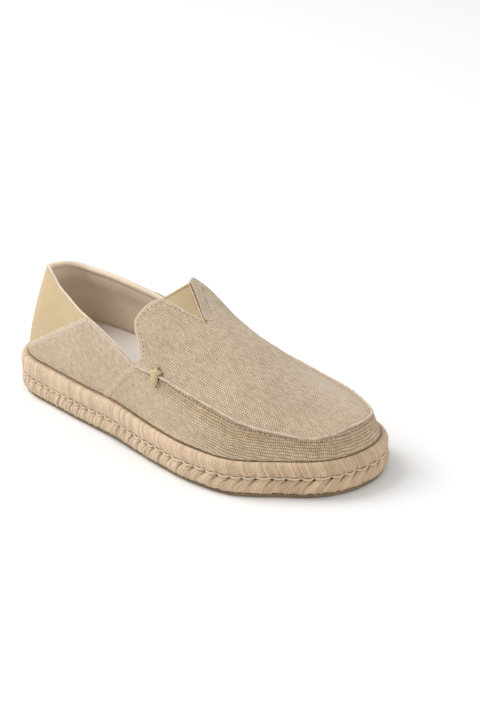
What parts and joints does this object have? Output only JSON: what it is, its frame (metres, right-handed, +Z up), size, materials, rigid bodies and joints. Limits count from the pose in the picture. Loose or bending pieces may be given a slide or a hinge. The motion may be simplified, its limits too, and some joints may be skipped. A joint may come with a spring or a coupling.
{
  "type": "espadrille loafer, right shoe",
  "caption": "Slip-on espadrille: canvas upper with a raised apron seam, leather heel counter and V gore, on a flat wrapped-rope sole with a thin rubber outsole.",
  "frame": {"origin": "on the floor, under the middle of the sole's box", "axes": "+X from heel to toe, +Y to the inner side of the foot, +Z up"},
  "size_m": [0.2918, 0.1148, 0.0983],
  "materials": {
    "outsole_rubber": "matt moulded rubber",
    "jute_rope": "natural jute yarn, wrapped",
    "insole_cloth": "smooth sock cloth",
    "canvas": "coarse linen canvas",
    "lining": "smooth lining",
    "leather": "soft matt leather",
    "leather_cord": "round leather cord",
    "thread": "waxed sewing thread"
  },
  "bodies": {
    "root": {"outsole": "outsole_rubber", "rope_midsole_lower": "jute_rope", "rope_midsole_upper": "jute_rope", "insole": "insole_cloth", "upper": "canvas", "heel_counter": "leather", "throat_gore": "leather", "tack_lateral": "leather_cord", "tack_medial": "leather_cord"}
  },
  "joints": []
}
